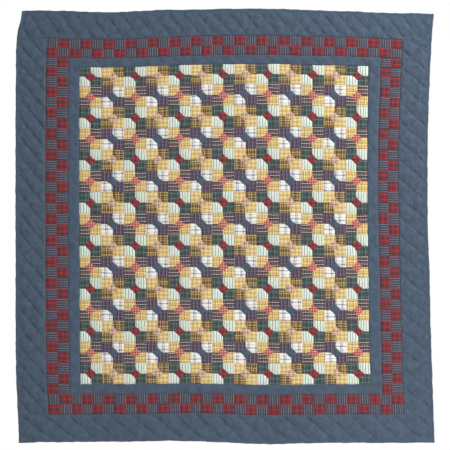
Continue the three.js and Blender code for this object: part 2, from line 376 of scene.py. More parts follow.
def border_relief(u, v):
    """Slanting quilting lines with the cloth gathered along them."""
    relief = bpy.context.scene.quilt_relief
    falling, rising = quilting_lines(u, v)
    nearest = np.minimum(falling, rising + 40 * MM * (1 - crossed(u)))
    slope = slant_of_lines(u, v)
    along = (u - slope * v) / np.hypot(1, slope)
    gathers = np.sin(along / (2.3 * MM) + 3 * roll(u, v, 0.03, 2.0)) * near(falling, 15 * MM)
    along_cross = (u + slope * v) / np.hypot(1, slope)
    gathers = gathers + 0.6 * crossed(u) * np.sin(along_cross / (2.6 * MM)) * near(rising, 11 * MM)
    deep = np.maximum(relief.line * near(falling, 5.5 * MM),
                      relief.cross * crossed(u) * near(rising, 5.5 * MM))
    deep = deep * (0.95 + 0.5 * roll(u, v, 0.045, 11.0)) * (
        1 - 0.35 * smooth(v, INNER[3], CHECKER[3]))
    hills = roll(u, v, 0.05, 5.0) + roll(u, v, 0.02, 9.0) + 0.8 * roll(u, v, 0.0095, 3.0)
    joint = np.minimum(np.abs(v - CHECKER[3]), np.abs(v - CHECKER[2]))
    return (1 - near(joint, 8 * MM)) * (
        relief.swell * (1 - near(nearest, 24 * MM)) - deep
        + relief.pucker * gathers + relief.crinkle * hills
    )


def batting_depth(u, v):
    """How far the batting lies behind the front of the quilt, deeper along the quilting."""
    relief = bpy.context.scene.quilt_relief
    border = outside(u, v, CHECKER) > -20 * MM
    falling, rising = quilting_lines(u, v)
    lines = np.maximum(near(falling, 20 * MM), near(rising, 20 * MM) * crossed(u)) * border
    edge = 1 - off_binding(u, v)
    return 1.4 * MM + relief.ditch + 2.2 * MM * lines - 1.0 * MM * edge


def top_relief(u, v):
    """How far the quilted top stands in front of its flat place."""
    relief = bpy.context.scene.quilt_relief
    field = outside(u, v, FIELD)
    inner = outside(u, v, INNER)
    checker = outside(u, v, CHECKER)
    zones = np.select(
        [field < 0, inner < 0, checker < 0],
        [patchwork_relief(u, v), 0.45 * border_relief(u, v), checker_relief(u, v)],
        border_relief(u, v),
    )
    seams = np.minimum(np.minimum(np.abs(field), np.abs(inner)), np.abs(checker))
    raised = zones * (1 - near(seams, 9 * MM)) - relief.band_ditch * near(seams, 5 * MM)
    lowest = relief.cloth + 0.5 * MM - batting_depth(u, v)
    return np.maximum(off_binding(u, v) * (raised + 0.5 * MM * roll(u, v, 0.12, 7.0)), lowest)


def hang_top(u, v):
    """The front of the quilt."""
    x, z = outline(u, v)
    return x, FRONT + sway(u, v) - top_relief(u, v), z


def rounded(u, v):
    """Places of the patchwork moved so that each knot's sides are a little off."""
    relief = bpy.context.scene.quilt_relief
    a, b = in_squares(u, v)
    luck = lottery(np.floor(a / 2), np.floor(b / 2), 2 * np.floor(a % 2) + np.floor(b % 2))
    a, b = a % 2 - 1, b % 2 - 1
    reach = np.maximum(np.hypot(a, b), 0.01)
    pull = near(beyond_knot(a, b), 10 * MM) * (2 * a * b / reach ** 2) ** 2 / reach
    pull = pull * (relief.rounding + (2 * luck - 1) * relief.uneven)
    return u - pull * a, v + pull * b


def hang_blocks(u, v):
    """The front of the patchwork."""
    x, z = outline(*rounded(u, v))
    return x, FRONT + sway(u, v) - top_relief(u, v), z


def back_pull(u, v):
    """How far the backing is drawn forwards into the batting."""
    relief = bpy.context.scene.quilt_relief
    falling = quilting_lines(u, v)[0]
    border = outside(u, v, CHECKER) > 0
    lines = 0.38 * relief.line * near(falling, 10 * MM)
    patches = 0.38 * relief.line * near(octagon_lines(u, v)[0], 8.5 * MM)
    inside = np.where(outside(u, v, FIELD) < 0, patches, 0.3 * MM)
    seams = np.minimum(np.abs(outside(u, v, FIELD)), np.abs(outside(u, v, CHECKER)))
    pull = np.where(border, lines, inside) * (1 - near(seams, 10 * MM))
    return off_binding(u, v) * (pull + 0.7 * MM * near(seams, 8 * MM))


def hang_back(u, v):
    """The rear of the quilt."""
    x, z = outline(u, v)
    return x, BACK + sway(u, v) - back_pull(u, v), z


# ---------------------------------------------------------------- shaders

def linear(rgb):
    """A screen colour as the renderer's linear one."""
    def part(value):
        return value / 12.92 if value <= 0.04045 else ((value + 0.055) / 1.055) ** 2.4
    return (*(part(value) for value in rgb), 1.0)


def screen(red, green, blue):
    """A linear colour from screen parts of 0 to 255."""
    return linear((red / 255, green / 255, blue / 255))


class Number:
    """A number in a material. Arithmetic on it adds Math nodes."""

    def __init__(self, finish, socket):
        self.finish = finish
        self.socket = socket

    def maths(self, operation, *others):
        node = self.finish.node("ShaderNodeMath", {"operation": operation},
                                dict(enumerate([self, *others])))
        return Number(self.finish, node.outputs[0])

    def __add__(self, other):
        return self.maths("ADD", other)

    def __sub__(self, other):
        return self.maths("SUBTRACT", other)

    def __mul__(self, other):
        return self.maths("MULTIPLY", other)

    def __truediv__(self, other):
        return self.maths("DIVIDE", other)

    def __rsub__(self, other):
        return self.maths("MULTIPLY", -1.0).maths("ADD", other)

    __radd__ = __add__
    __rmul__ = __mul__

    def fraction(self):
        return self.maths("FRACT")

    def sine(self):
        return self.maths("SINE")


class Nodes:
    """The nodes of a material or world, which start from none."""

    def __init__(self, owner):
        owner.use_nodes = True
        self.tree = owner.node_tree
        self.tree.nodes.clear()

    def node(self, kind, settings, inputs):
        """Adds a node: its settings first, then values or links for its sockets."""
        made = self.tree.nodes.new(kind)
        for name, value in settings.items():
            if name == "stops":
                self.set_stops(made.color_ramp, value)
            else:
                setattr(made, name, value)
        for name, value in inputs.items():
            socket = made.inputs[name]
            if isinstance(value, Number):
                value = value.socket
            if isinstance(value, bpy.types.NodeSocket):
                self.tree.links.new(value, socket)
            else:
                socket.default_value = value
        return made

    @staticmethod
    def set_stops(ramp, stops):
        """Bands of colour, each from its own place up to the next."""
        ramp.interpolation = "CONSTANT"
        while len(ramp.elements) > 1:
            ramp.elements.remove(ramp.elements[-1])
        ramp.elements[0].position = stops[0][0]
        ramp.elements[0].color = stops[0][1]
        for place, shade in stops[1:]:
            ramp.elements.new(place).color = shade


class Finish(Nodes):
    """One material: its shader and the nodes that feed it."""

    def __init__(self, name, roughness, metallic=0.0, sheen=0.0, coat=0.0):
        self.material = bpy.data.materials.new(name)
        super().__init__(self.material)
        fixed = {"Roughness": roughness, "Metallic": metallic, "Sheen Weight": sheen,
                 "Coat Weight": coat, "Specular IOR Level": 0.3 if metallic == 0 else 0.5}
        self.shader = self.node("ShaderNodeBsdfPrincipled", {}, fixed)
        self.node("ShaderNodeOutputMaterial", {}, {"Surface": self.shader.outputs[0]})

    def object_place(self):
        """The place on the object, in metres."""
        return self.node("ShaderNodeTexCoord", {}, {}).outputs["Object"]

    def cloth_place(self):
        """Metres across and up the cloth, from the piece's own UV map."""
        uv = self.node("ShaderNodeUVMap", {"uv_map": "cloth"}, {})
        parts = self.node("ShaderNodeSeparateXYZ", {}, {0: uv.outputs[0]})
        return Number(self, parts.outputs[0]), Number(self, parts.outputs[1]), uv.outputs[0]

    def noise(self, place, scale, detail, stretch=(1, 1, 1)):
        """Soft noise from 0 to 1 about a half."""
        mapping = self.node("ShaderNodeMapping", {}, {"Vector": place, "Scale": stretch})
        made = self.node("ShaderNodeTexNoise", {}, {
            "Vector": mapping.outputs[0], "Scale": scale, "Detail": detail})
        return Number(self, made.outputs[0])

    def mix(self, share, first, second, blend="MIX"):
        """Two colours mixed by a share."""
        made = self.node("ShaderNodeMix", {"data_type": "RGBA", "blend_type": blend},
                         {0: share, 6: first, 7: second})
        return made.outputs[2]

    def bump(self, height, depth):
        """A surface raised by a height of 0 to 1 times a depth in metres."""
        return self.node("ShaderNodeBump", {}, {
            "Height": height, "Distance": depth, "Strength": 1.0}).outputs[0]

    def feed(self, **inputs):
        """Links a colour, number or normal to the shader."""
        for name, value in inputs.items():
            socket = self.shader.inputs[name.replace("_", " ")]
            self.tree.links.new(value.socket if isinstance(value, Number) else value, socket)


def threads(sett):
    """Colour stops for one repeat of a stripe, from widths in millimetres and colours."""
    total = sum(width for width, shade in sett)
    stops, start = [], 0.0
    for width, shade in sett:
        stops.append((start / total, screen(*shade)))
        start += width
    return stops, total * MM


def woven(name, warp, weft, weft_share=0.5, mottle=0.1):
    """Cotton with upright warp stripes and level weft stripes, crossing as yarns do."""
    finish = Finish(name, roughness=0.92, sheen=0.12)
    across, up, place = finish.cloth_place()
    shades = []
    for along, sett in ((across, warp), (up, weft)):
        stops, repeat = threads(sett)
        ramp = finish.node("ShaderNodeValToRGB", {"stops": stops},
                           {0: (along / repeat).fraction()})
        shades.append(ramp.outputs[0])
    over = (across * (math.pi / YARN)).sine() * (up * (math.pi / YARN)).sine()
    cloth = finish.mix(over * 0.2 + weft_share, shades[0], shades[1])
    slubs = (finish.noise(place, 900.0, 1.0, (1, 0.06, 1))
             + finish.noise(place, 900.0, 1.0, (0.06, 1, 1)))
    uneven = finish.noise(place, 26.0, 4.0)
    shade = (slubs - 1.0) * 0.5 + (uneven - 0.5) * (2 * mottle) + 1.0
    tone = finish.node("ShaderNodeCombineColor", {}, {0: shade, 1: shade, 2: shade})
    finish.feed(Base_Color=finish.mix(1.0, cloth, tone.outputs[0], "MULTIPLY"))
    finish.feed(Normal=finish.bump(over * 0.5 + 0.5 + slubs * 0.3, 0.16 * MM))
    return finish.material


def plain(name, rgb, mottle):
    """Plain cotton of one colour, the weft a little darker than the warp."""
    shade = tuple(255 * part for part in rgb)
    darker = tuple(0.93 * part for part in shade)
    return woven(name, [(1, shade)], [(1, darker)], 0.5, mottle)


def pine(name, rgb):
    """Planed softwood with long grain along X."""
    finish = Finish(name, roughness=0.5, coat=0.04)
    place = finish.object_place()
    stretch = (0.2, 14.0, 14.0)
    rings = finish.noise(place, 5.0, 5.0, stretch)
    fibres = finish.noise(place, 34.0, 4.0, [6 * part for part in stretch])
    figure = (rings * 26.0).sine() * 0.5 + 0.5
    late = finish.mix(figure, linear(rgb), linear([0.72 * part for part in rgb]))
    tone = finish.mix(fibres * 0.35, late, linear([0.62 * part for part in rgb]))
    finish.feed(Base_Color=tone, Roughness=fibres * 0.25 + 0.5)
    finish.feed(Normal=finish.bump(fibres + figure * 0.4, 0.12 * MM))
    return finish.material


def powder_coat(name, rgb):
    """Satin powder coat, with its fine orange peel."""
    finish = Finish(name, roughness=0.42, coat=0.1)
    place = finish.object_place()
    peel = finish.noise(place, 900.0, 2.0)
    smear = finish.noise(place, 40.0, 3.0)
    finish.feed(Base_Color=finish.mix(smear, linear(rgb), linear([1.5 * part for part in rgb])))
    finish.feed(Roughness=smear * 0.25 + 0.32, Normal=finish.bump(peel, 0.05 * MM))
    return finish.material


def zinc_plate(name, rgb):
    """Bright zinc with faint cloudy patches."""
    finish = Finish(name, roughness=0.32, metallic=1.0)
    place = finish.object_place()
    cloud = finish.noise(place, 260.0, 3.0)
    finish.feed(Base_Color=finish.mix(cloud, linear(rgb), linear([0.8 * part for part in rgb])))
    finish.feed(Roughness=cloud * 0.3 + 0.2, Normal=finish.bump(cloud, 0.02 * MM))
    return finish.material


# Thread counts: one repeat of each cloth, as (millimetres, colour) from left to right
# for the warp and from the bottom up for the weft.
CLOTHS = {
    "green_plaid": (
        [(9.6, (70, 70, 67)), (2.2, (142, 185, 167)), (9.6, (72, 98, 86)), (6, (74, 75, 97)),
         (1.7, (134, 171, 158)), (8.4, (70, 70, 66))],
        [(9.6, (67, 70, 67)), (8.4, (72, 96, 84)), (2.2, (139, 180, 165)), (9.6, (74, 75, 95))],
    ),
    "mint_stripe": (
        [(4.9, (255, 255, 248)), (3.6, (16, 50, 32)), (3.9, (255, 255, 246)), (2.8, (150, 232, 186))],
        [(10, (255, 255, 250)), (2, (212, 226, 210))],
        0.2,
    ),
    "tan_check": (
        [(9, (243, 214, 146)), (3, (255, 239, 184)), (7, (210, 172, 105)), (4, (196, 164, 116))],
        [(10, (245, 216, 148)), (5, (253, 237, 180)), (6, (210, 174, 109)), (3, (187, 155, 113))],
    ),
    "brown_plaid": (
        [(9, (76, 66, 57)), (4.2, (236, 202, 136)), (7.5, (123, 112, 68)), (5.1, (205, 152, 98)),
         (7.5, (66, 60, 52)), (6, (216, 190, 130))],
        [(7.5, (78, 68, 57)), (6, (204, 154, 100)), (9, (114, 106, 68)), (4.5, (236, 204, 144)),
         (10.5, (70, 62, 55))],
    ),
    "yellow_plaid": (
        [(10, (242, 205, 125)), (5, (132, 113, 74)), (8, (255, 241, 190)), (5, (200, 147, 85)),
         (6, (245, 220, 155))],
        [(9, (253, 229, 162)), (5, (136, 116, 76)), (10, (230, 191, 112)), (5, (206, 155, 95))],
    ),
    "black_pane": (
        [(7, (52, 46, 54)), (2.4, (190, 176, 170)), (5, (60, 50, 62))],
        [(8, (50, 44, 52)), (3.6, (244, 230, 216)), (6, (64, 50, 60)), (2, (186, 140, 148))],
        0.62,
    ),
    "plum_stripe": (
        [(6, (68, 62, 77)), (2.4, (186, 170, 186)), (6, (83, 72, 93)), (2, (146, 108, 135)),
         (4, (64, 60, 72))],
        [(12, (78, 70, 88)), (2.4, (151, 144, 153)), (6, (66, 62, 72))],
        0.38,
    ),
    "white_plaid": (
        [(15, (255, 254, 245)), (7, (98, 101, 146)), (4.6, (246, 242, 232)), (3.6, (120, 118, 150)),
         (13, (255, 254, 245))],
        [(16.2, (255, 254, 245)), (7.4, (94, 97, 144)), (13, (253, 249, 238)), (3, (160, 146, 142))],
    ),
    "red_knot": (
        [(12, (178, 52, 64)), (6.5, (40, 48, 50)), (7.5, (140, 66, 74))],
        [(10.5, (172, 54, 64)), (6.5, (42, 48, 50)), (9, (128, 66, 72))],
    ),
    "pink_knot": (
        [(9.8, (240, 209, 184)), (4.8, (112, 52, 52)), (7, (219, 180, 147)), (2.8, (150, 78, 74))],
        [(11.2, (238, 205, 179)), (4.8, (116, 56, 54)), (8.4, (221, 182, 147))],
    ),
    "gingham_knot": (
        [(7, (176, 26, 40)), (7, (230, 168, 154))],
        [(7, (174, 27, 42)), (7, (230, 165, 150))],
    ),
    "red_border": (
        [(7, (146, 52, 64)), (8, (186, 42, 54)), (4.5, (64, 63, 62)), (4, (110, 56, 66)),
         (8, (66, 61, 63))],
        [(10, (174, 45, 56)), (5.5, (60, 56, 60)), (4, (116, 55, 66)), (9, (72, 60, 65))],
        0.48,
    ),
    "stripe_border": (
        [(9, (58, 59, 68)), (3.4, (144, 153, 165)), (4, (65, 63, 76)), (2.4, (112, 67, 93)),
         (3.6, (60, 59, 70)), (3.4, (134, 144, 158))],
        [(8, (67, 68, 79)), (3, (112, 109, 124))],
        0.36,
    ),
}

# Blocks by turns: the patches that start at the upper left, the other two, and the knot
BLOCKS = [
    [("green_plaid", "mint_stripe", "red_knot"), ("tan_check", "brown_plaid", "pink_knot")],
    [("yellow_plaid", "black_pane", "gingham_knot"), ("plum_stripe", "white_plaid", "slate")],
]

_materials = {}


def material(name):
    """The material of a cloth, wood or metal, made once."""
    if name not in _materials:
        colours = bpy.context.scene.quilt_colours
        if name in CLOTHS:
            _materials[name] = woven(name, *CLOTHS[name])
        elif name == "slate":
            _materials[name] = plain(name, colours.slate, 0.42)
        elif name == "pine":
            _materials[name] = pine(name, colours.pine)
        elif name == "steel":
            _materials[name] = powder_coat(name, colours.steel)
        elif name == "zinc":
            _materials[name] = zinc_plate(name, colours.zinc)
        else:
            _materials[name] = plain(name, getattr(colours, name), 0.12)
    return _materials[name]


# ---------------------------------------------------------------- making cloth

def lottery(*whole):
    """Numbers from 0 to 1 that depend only on the whole numbers given."""
    seed = sum(part * step for part, step in zip(whole, (12.9898, 78.233, 37.719)))
    return np.sin(seed) * 43758.5453 % 1.0


def flat_cloth(box, across, up):
    """A flat grid in the quilt's plane, its faces towards the viewer."""
    left, right, bottom, top = box
    bm = bmesh.new()
    bmesh.ops.create_grid(bm, x_segments=across, y_segments=up, size=0.5)
    size = Matrix.Diagonal((right - left, top - bottom, 1, 1))
    stand = Matrix.Rotation(math.radians(90), 4, "X")
    place = Matrix.Translation(((left + right) / 2, 0, (bottom + top) / 2))
    bmesh.ops.transform(bm, matrix=place @ stand @ size, verts=bm.verts)
    return bm


def cells(distance, size):
    """How many cells of about a size fit a distance."""
    return max(1, round(distance / size))


def even_cloth(box, cell):
    """A flat grid with square cells of about a size."""
    return flat_cloth(box, cells(box[1] - box[0], cell), cells(box[3] - box[2], cell))


def map_cloth(bm, wide, high):
    """A UV map from the flat places in X and Y, times a width and a height."""
    layer = bm.loops.layers.uv.new("cloth")
    for face in bm.faces:
        for loop in face.loops:
            loop[layer].uv = (loop.vert.co.x * wide, loop.vert.co.y * high)


def strip_cloth(span, cell, around, width):
    """A flat grid one unit each way, to be wrapped, with its UV map in metres."""
    bm = bmesh.new()
    bmesh.ops.create_grid(bm, x_segments=cells(span, cell), y_segments=around, size=0.5)
    map_cloth(bm, span, width)
    return bm


def added(name, data):
    """An object of the scene."""
    made = bpy.data.objects.new(name, data)
    bpy.context.scene.collection.objects.link(made)
    return made


def mesh_from(name, bm):
    """A mesh from a bmesh, which is freed."""
    mesh = bpy.data.meshes.new(name)
    bm.to_mesh(mesh)
    bm.free()
    return mesh


def object_from(name, bm, names, sharp=None):
    """A smooth-shaded object from a bmesh, with its materials, and with the edges sharp
    that turn by more than some degrees."""
    mesh = mesh_from(name, bm)
    for item in names:
        mesh.materials.append(material(item))
    mesh.shade_smooth()
    made = added(name, mesh)
    if sharp:
        mesh.set_sharp_from_angle(angle=math.radians(sharp))
    return made


def move(made, points):
    """Puts a mesh's vertices at new places."""
    made.data.vertices.foreach_set("co", points.ravel())
    made.data.update()


def as_laid(u, v):
    """Flat places left as they are."""
    return u, v


def lay_out(made, patch, cut=as_laid):
    """Gives each face its cloth and a UV map in metres. The patch function takes the
    faces' flat places and returns the cloth's number, how far its pattern is moved each
    way, and whether it is cut crossways. The cut function gives the places as cut."""
    mesh = made.data
    flat = numbers(mesh.vertices, "co", 3)
    centres = numbers(mesh.polygons, "center", 3)
    cloth, shift_u, shift_v, crossways = patch(centres[:, 0], centres[:, 2])
    mesh.polygons.foreach_set("material_index", (np.zeros(len(centres)) + cloth).astype(np.int32))
    corners = numbers(mesh.loops, "vertex_index", 1).astype(int).ravel()
    count = numbers(mesh.polygons, "loop_total", 1).astype(int).ravel()
    moved = [np.repeat(np.zeros(len(count)) + part, count) for part in (shift_u, shift_v, crossways)]
    u, v = cut(flat[corners, 0], flat[corners, 2])
    turn = moved[2] > 0.5
    uv = np.stack((np.where(turn, v, u) + moved[0], np.where(turn, u, v) + moved[1]), axis=1)
    mesh.uv_layers.new(name="cloth").data.foreach_set("uv", uv.ravel())


def whole_cloth(u, v):
    """The patch function of a piece cut from one cloth."""
    return 0, 0.0, 0.0, 0.0


def numbers(items, name, width):
    """One attribute of a mesh's items as rows of numbers."""
    values = np.zeros(width * len(items))
    items.foreach_get(name, values)
    return values.reshape(-1, width)


def hung(name, bm, names, hang, patch=whole_cloth, cut=as_laid):
    """A cloth piece laid out flat and then moved to where it hangs."""
    made = object_from(name, bm, names)
    lay_out(made, patch, cut)
    flat = numbers(made.data.vertices, "co", 3)
    move(made, np.stack(hang(flat[:, 0], flat[:, 2]), axis=1))
    return made


def thicken(made, thickness, offset=-1):
    """Gives a cloth its thickness, on the inner side of its faces or, with 1, the outer."""
    wall = made.modifiers.new("cloth thickness", "SOLIDIFY")
    wall.thickness = thickness
    wall.offset = offset


def join_body(made, node):
    """Ties a piece to the bodies: it rides the quilt's body if it lies wholly below BEND_END, and
    otherwise stays fixed where it is.
    """
    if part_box(node)[1].z < BEND_END[2]:
        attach(made, "quilt")
    else:
        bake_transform(made)
    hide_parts(node)


def finish_sheet(made, node, box):
    """Thickens a hung piece and ties it to the bodies."""
    thicken(made, bpy.context.scene.quilt_relief.cloth)
    join_body(made, node)
    box[1] - box[0]
    box[3] - box[2]


def stand_in(made, body, node):
    """Makes a piece ride a body in place of its node."""
    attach(made, body)
    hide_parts(node)


def node_box(node, neighbours=True):
    """A cloth node's rectangle, out to the middle of its seams."""
    return grown(rectangle(node), SEAM if neighbours else 0)


class Maker(bpy.types.Operator):
    """Base of the operators that make pieces."""
    bl_options = {"REGISTER", "UNDO"}

    def execute(self, context):
        self.make(context)
        return {"FINISHED"}


class QUILT_OT_block_rows(Maker):
    """Piece the rows of bow-tie blocks"""
    bl_idname = "quilt.block_rows"
    bl_label = "Rows of blocks"

    CELLS = 12

    def make(self, context):
        for number, node in enumerate(ROWS):
            self.row(number, node)

    def row(self, number, node):
        box = node_box(node)
        bm = flat_cloth(box, COLUMNS * self.CELLS, 2 * self.CELLS)
        self.cut_knots(bm, box)
        names = [name for kind in BLOCKS[number % 2] for name in kind]
        made = hung(f"patchwork_{node}", bm, names, hang_blocks,
                    lambda x, z: self.patch(x, z, box, number), rounded)
        finish_sheet(made, node, box)

    def cut_knots(self, bm, box):
        """Splits the cells that the slanting sides of the knots cross."""
        on_side = []
        for vert in bm.verts:
            a = (vert.co.x - box[0]) / SQUARE_WIDE
            b = (box[3] - vert.co.z) / SQUARE_HIGH
            if abs(abs(a % 2 - 1) + abs(b % 2 - 1) - KNOT) < 0.01:
                on_side.append(vert)
        bmesh.ops.connect_verts(bm, verts=on_side)

    def patch(self, x, z, box, number):
        """The cloth at each place, and where it was cut from."""
        a = (x - box[0]) / SQUARE_WIDE
        b = (box[3] - z) / SQUARE_HIGH
        knot = np.abs(a % 2 - 1) + np.abs(b % 2 - 1) < KNOT
        kind = np.floor(a / 2) % 2
        falling = (np.floor(a) + np.floor(b)) % 2 == 0
        column = np.where(knot, np.floor(a / 2), np.floor(a))
        row = np.where(knot, 9, np.floor(b))
        cloth = 3 * kind + np.where(knot, 2, np.where(falling, 0, 1))
        striped = ~knot & (np.isin(cloth, (0, 1)) if number % 2 == 0 else True)
        crossways = ~striped & (lottery(number, column, row) > 0.55)
        first, second = lottery(column, row, number), lottery(row + 5, number, column)
        return cloth, 0.3 * first, 0.3 * second, crossways


class QUILT_OT_inner_border(Maker):
    """Sew the plain border round the patchwork"""
    bl_idname = "quilt.inner_border"
    bl_label = "Inner border"

    def make(self, context):
        for side in SIDES:
            plain_strip(f"inner_border_{side}", 5.5 * MM, True)


def plain_strip(node, cell, neighbours):
    """A plain slate border strip on the front of the quilt."""
    box = node_box(node, neighbours)
    made = hung(f"sewn_{node}", even_cloth(box, cell), ["slate"], hang_top)
    finish_sheet(made, node, box)


class QUILT_OT_checker_border(Maker):
    """Piece the two staggered rows of red and striped squares"""
    bl_idname = "quilt.checker_border"
    bl_label = "Checker border"

    CELLS = 10

    def make(self, context):
        for side in SIDES:
            ends = side in ("top", "bottom")
            across = CHECKER_ACROSS if ends else 2
            down = 2 if ends else CHECKER_DOWN
            first_column = CHECKER_ACROSS - 2 if side == "right" else 0
            first_row = {"top": 0, "bottom": CHECKER_DOWN + 2}.get(side, 2)
            self.strip(f"checker_border_{side}", (across, down), (first_column, first_row), ends)

    def strip(self, node, count, first, ends):
        box = node_box(node)
        bm = flat_cloth(box, count[0] * self.CELLS, count[1] * self.CELLS)

        def patch(x, z):
            column = first[0] + np.floor((x - box[0]) / (box[1] - box[0]) * count[0])
            row = first[1] + np.floor((box[3] - z) / (box[3] - box[2]) * count[1])
            cut = 0.2 * lottery(column, row, 3), 0.2 * lottery(row, column, 8)
            return (column + row) % 2, *cut, float(not ends)

        made = hung(f"pieced_{node}", bm, ["stripe_border", "red_border"], hang_top, patch)
        finish_sheet(made, node, box)


class QUILT_OT_outer_border(Maker):
    """Sew the wide quilted border"""
    bl_idname = "quilt.outer_border"
    bl_label = "Outer border"

    def make(self, context):
        for side in SIDES:
            plain_strip(f"outer_border_{side}", 5 * MM, False)


class QUILT_OT_batting(Maker):
    """Lay the batting between the cloths"""
    bl_idname = "quilt.batting"
    bl_label = "Batting"

    INSET = 6 * MM
    CELL = 12 * MM
    BEHIND = 2.4 * MM

    def make(self, context):
        bm = even_cloth(grown(rectangle("batting"), -self.INSET), self.CELL)
        bmesh.ops.solidify(bm, geom=bm.faces[:], thickness=1.0)
        bmesh.ops.recalc_face_normals(bm, faces=bm.faces)
        made = object_from("batting_pad", bm, ["batting"])
        lay_out(made, whole_cloth)
        flat = numbers(made.data.vertices, "co", 3)
        u, v = flat[:, 0], flat[:, 2]
        x, z = outline(u, v)
        front = FRONT + batting_depth(u, v)
        rear = BACK - self.BEHIND
        y = sway(u, v) + np.where(flat[:, 1] < flat[:, 1].mean(), front, rear)
        move(made, np.stack((x, y, z), axis=1))
        join_body(made, "batting")


class QUILT_OT_backing(Maker):
    """Sew the two widths of the backing"""
    bl_idname = "quilt.backing"
    bl_label = "Backing"

    CELL = 7.8 * MM

    def make(self, context):
        for side in ("left", "right"):
            node = f"backing_{side}"
            box = list(rectangle(node))
            box[1 if side == "left" else 0] = MIDDLE_X
            bm = even_cloth(box, self.CELL)
            bmesh.ops.reverse_faces(bm, faces=bm.faces)
            finish_sheet(hung(f"sewn_{node}", bm, ["backing"], hang_back), node, box)


class QUILT_OT_binding(Maker):
    """Fold the binding round the four edges"""
    bl_idname = "quilt.binding"
    bl_label = "Binding"

    CELL = 6 * MM
    AROUND = 22
    FLAT = 0.28

    def make(self, context):
        for side in SIDES:
            self.strip(context, side)

    def profile(self, around):
        """Inset from the edge and depth, round the fold from front to back."""
        middle = (FRONT + BACK) / 2
        radius = (BACK - FRONT) / 2 + 0.7 * MM
        front = around < self.FLAT
        back = around > 1 - self.FLAT
        turn = np.clip((around - self.FLAT) / (1 - 2 * self.FLAT), 0, 1) * math.pi - math.pi / 2
        share = np.select([front, back],
                          [1 - around / self.FLAT, (around - 1 + self.FLAT) / self.FLAT], 0)
        inset = radius * (1 - np.cos(turn)) + share * (BOUND_WIDTH - radius)
        tuck = 0.5 * MM * smooth(share, 0.75, 1.0)
        depth = middle + (radius - tuck) * np.sin(turn)
        return inset, depth

    def strip(self, context, side):
        node = f"binding_{side}"
        level = side in ("top", "bottom")
        span = 2 * (HALF_WIDE if level else HALF_HIGH)
        bm = strip_cloth(span, self.CELL, self.AROUND, 3 * BOUND_WIDTH)
        made = object_from(f"folded_{node}", bm, ["slate"])
        flat = numbers(made.data.vertices, "co", 3)
        along, around = flat[:, 0], flat[:, 1] + 0.5
        inset, depth = self.profile(around)
        run = along * (span - 2 * inset)
        rim = (HALF_HIGH if level else HALF_WIDE) - inset
        sign = 1 if side in ("top", "right") else -1
        if level:
            u, v = MIDDLE_X + sign * run, MIDDLE_Z + sign * rim
        else:
            u, v = MIDDLE_X + sign * rim, MIDDLE_Z - sign * run
        x, z = outline(u, v)
        gather = 0.35 * MM * np.sin(run / (4.1 * MM) + 2 * roll(u, v, 0.02, 3.0))
        gather = np.where(around < 0.5, -1, 1) * gather * near(inset - 0.7 * BOUND_WIDTH, 4 * MM)
        move(made, np.stack((x, depth + sway(u, v) + gather, z), axis=1))
        thicken(made, context.scene.quilt_relief.cloth)
        join_body(made, node)


class QUILT_OT_sleeves(Maker):
    """Sew the two halves of the hanging sleeve"""
    bl_idname = "quilt.sleeves"
    bl_label = "Hanging sleeves"

    AROUND = 72
    CELL = 9 * MM
    THICKNESS = 1.0 * MM
    CLEAR = 0.5 * MM
    SEAM_INSET = 1.5 * MM
    # Shares of the way round at which the section turns
    TURN_BACK = 0.3
    MEET_ROD = 0.55
    LEAVE_ROD = 0.92

    def make(self, context):
        for side in ("left", "right"):
            self.tube(f"sleeve_{side}")

    def loop_point(self, share, low, high):
        """A place on the sleeve's section from the rod's axis: down the front from its upper
        seam, back to the rod, up behind it and forwards again to the seam."""
        radius = ROD_RADIUS + self.CLEAR
        face = low.y + self.THICKNESS - ROD_AXIS.y
        top = high.z - ROD_AXIS.z - self.SEAM_INSET
        bottom = low.z - ROD_AXIS.z + self.SEAM_INSET
        lower = math.atan2(bottom, face) + math.acos(radius / math.hypot(face, bottom))
        upper = math.atan2(top, face) - math.acos(radius / math.hypot(face, top))

        def on_rod(angle):
            return radius * math.cos(angle), radius * math.sin(angle)

        def between(first, last, start, end):
            part = (share - first) / (last - first)
            return [here + (there - here) * part for here, there in zip(start, end)]

        if share <= self.TURN_BACK:
            return between(0, self.TURN_BACK, (face, top), (face, bottom))
        if share <= self.MEET_ROD:
            return between(self.TURN_BACK, self.MEET_ROD, (face, bottom), on_rod(lower))
        if share <= self.LEAVE_ROD:
            part = (share - self.MEET_ROD) / (self.LEAVE_ROD - self.MEET_ROD)
            return on_rod(lower + (upper - lower) * part)
        return between(self.LEAVE_ROD, 1, on_rod(upper), (face, top))

    def tube(self, node):
        low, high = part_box(node)
        span = high.x - low.x
        bm = strip_cloth(span, self.CELL, self.AROUND, SLEEVE_FLAT)
        for vert in bm.verts:
            share = vert.co.y + 0.5
            x = (low.x + high.x) / 2 + vert.co.x * span
            y, z = self.loop_point(share, low, high)
            slack = (share - self.TURN_BACK) / (self.LEAVE_ROD - self.TURN_BACK)
            slack = math.sin(math.pi * min(max(slack, 0), 1)) ** 2
            ripple = math.sin(x * 61 + 2.0 * math.sin(x * 17)) + 0.6 * math.sin(x * 133)
            swell = (0.9 + 0.5 * ripple) * slack * MM
            out = 1 + swell / math.hypot(y, z)
            vert.co = (x, ROD_AXIS.y + y * out, ROD_AXIS.z + z * out)
        bmesh.ops.remove_doubles(bm, verts=bm.verts, dist=0.05 * MM)
        bmesh.ops.recalc_face_normals(bm, faces=bm.faces)
        made = object_from(f"sewn_{node}", bm, ["backing"])
        thicken(made, self.THICKNESS, 1)
        join_body(made, node)


